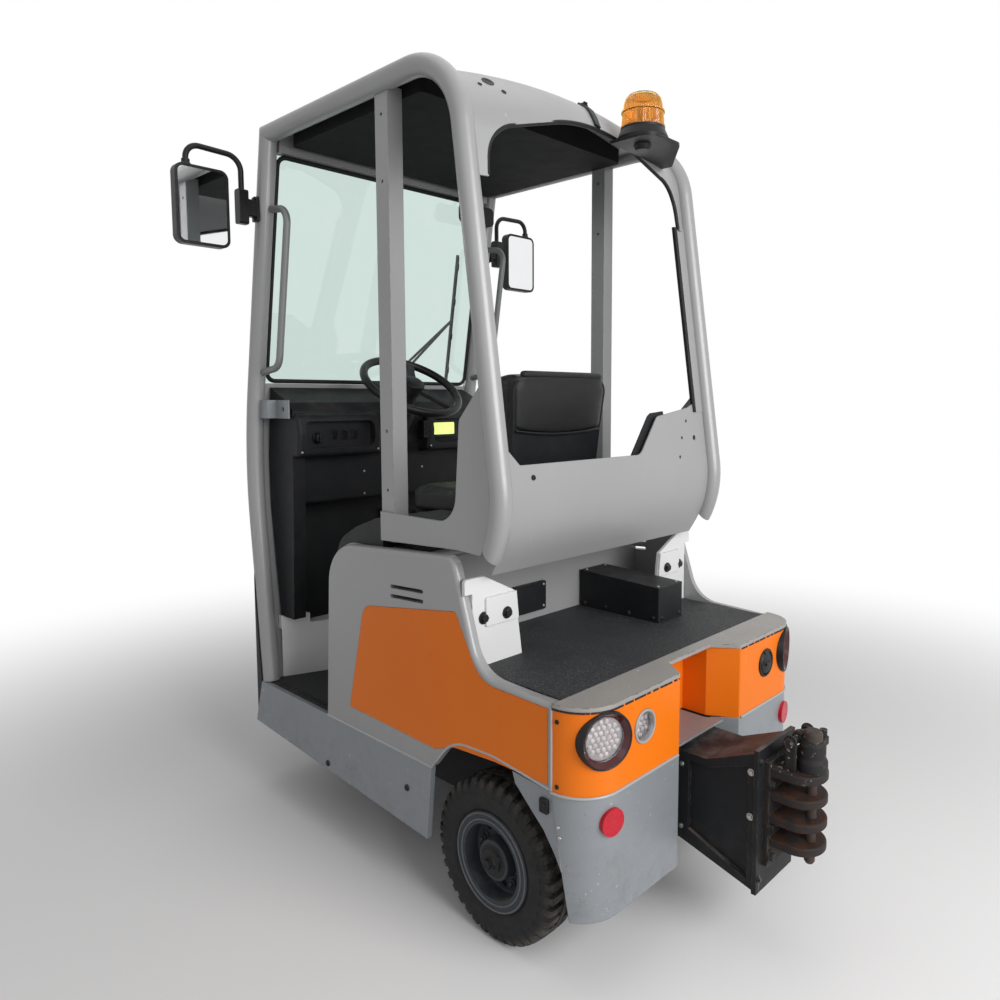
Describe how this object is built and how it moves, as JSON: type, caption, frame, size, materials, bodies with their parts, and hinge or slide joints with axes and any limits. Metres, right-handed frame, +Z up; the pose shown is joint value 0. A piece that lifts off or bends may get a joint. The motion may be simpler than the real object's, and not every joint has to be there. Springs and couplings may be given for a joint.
{
  "type": "electric tow tractor",
  "caption": "Compact electric tow tractor with an open driver's cab, steered front wheel, rear load deck and stacked-jaw towing coupler.",
  "frame": {"origin": "middle of the object's box at floor level", "axes": "+X forward along the direction of travel, +Y to the driver's left, +Z up"},
  "size_m": [1.85, 1.504, 2.2139],
  "materials": {
    "silver_paint": "satin silver-grey paint, lightly scuffed",
    "grey_paint": "satin mid-grey paint, scraped edges",
    "pale_paint": "pale grey paint",
    "orange_paint": "gloss orange paint with stone chips",
    "dark_steel": "black-grey paint, dusty",
    "cast_coupler": "worn casting, rust in the slots",
    "pin_steel": "worn steel",
    "bright_steel": "silver-coated tube",
    "black_plastic": "grained moulding",
    "mirror_plastic": "fine-grained moulding",
    "mat_rubber": "grained mat, dusty",
    "seat_vinyl": "grained vinyl with seams",
    "tyre_rubber": "dusty tyre rubber",
    "rim_paint": "dark satin paint",
    "screen_glass": "lightly tinted glass",
    "mirror_glass": "mirror",
    "amber_lens": "clear amber moulding",
    "lamp_lens": "clear ribbed lens",
    "red_lens": "red reflector",
    "headliner_cloth": "black moulded headliner",
    "battery_case": "plain painted steel"
  },
  "bodies": {
    "chassis": {"a_pillars": "silver_paint", "battery": "battery_case", "beacon_base": "mirror_plastic", "beacon_dome": "amber_lens", "cab_feet": "pale_paint", "cab_tubes": "silver_paint", "coupler_body": "cast_coupler", "dash": "black_plastic", "deck_fittings": "black_plastic", "deck_mat": "mat_rubber", "deck_plate": "silver_paint", "display": "mirror_plastic", "door_posts": "silver_paint", "entry_steps": "mat_rubber", "floor_mat": "mat_rubber", "foot_platform": "pale_paint", "front_panel": "silver_paint", "grab_handles": "bright_steel", "headliner": "headliner_cloth", "lamp_lenses": "lamp_lens", "lamp_rings": "mirror_plastic", "main_frame": "dark_steel", "mirror_arms": "mirror_plastic", "mirror_glasses": "mirror_glass", "mirror_heads": "mirror_plastic", "nose_cover": "black_plastic", "pillar_brackets": "grey_paint", "quarter_sheets": "silver_paint", "rear_axle": "dark_steel", "rear_cover": "orange_paint", "rear_panel": "silver_paint", "rear_skirt": "grey_paint", "reflectors": "red_lens", "roof_skin": "silver_paint", "seat_back": "seat_vinyl", "seat_box": "silver_paint", "seat_cushion": "seat_vinyl", "seat_frame": "black_plastic", "side_covers": "black_plastic", "side_inlays": "orange_paint", "side_panels": "silver_paint", "sills": "grey_paint", "steering_column": "black_plastic", "tow_box": "dark_steel", "windscreen": "screen_glass", "wiper": "mirror_plastic"},
    "steer_fork": {"steer_fork": "dark_steel"},
    "front_wheel": {"front_rim": "rim_paint", "front_tyre": "tyre_rubber"},
    "rear_wheel_left": {"rear_rim_left": "rim_paint", "rear_tyre_left": "tyre_rubber"},
    "rear_wheel_right": {"rear_rim_right": "rim_paint", "rear_tyre_right": "tyre_rubber"},
    "steering_wheel": {"steering_wheel": "mirror_plastic"},
    "coupling_pin": {"coupling_pin": "pin_steel"}
  },
  "joints": [
    {"name": "steer", "type": "hinge", "parent": "chassis", "child": "steer_fork", "pos_m": [0.66, 0, 0.48], "axis": [0, 0, 1], "range_deg": [-70, 70]},
    {"name": "front_wheel_spin", "type": "hinge", "parent": "steer_fork", "child": "front_wheel", "pos_m": [0.66, 0, 0.205], "axis": [0, 1, 0], "continuous": true},
    {"name": "rear_wheel_left_spin", "type": "hinge", "parent": "chassis", "child": "rear_wheel_left", "pos_m": [-0.29, 0.423, 0.205], "axis": [0, 1, 0], "continuous": true},
    {"name": "rear_wheel_right_spin", "type": "hinge", "parent": "chassis", "child": "rear_wheel_right", "pos_m": [-0.29, -0.423, 0.205], "axis": [0, 1, 0], "continuous": true},
    {"name": "steering_wheel_turn", "type": "hinge", "parent": "chassis", "child": "steering_wheel", "pos_m": [0.615, 0, 1.386], "axis": [-0.5446, 0, 0.8387], "range_deg": [-720, 720]},
    {"name": "coupling_pin_lift", "type": "slide", "parent": "chassis", "child": "coupling_pin", "axis": [0, 0, 1], "range_m": [0, 0.2]}
  ],
  "couplings": [
    {"joint": "steering_wheel_turn", "follows": "steer", "ratio": 10.286}
  ]
}
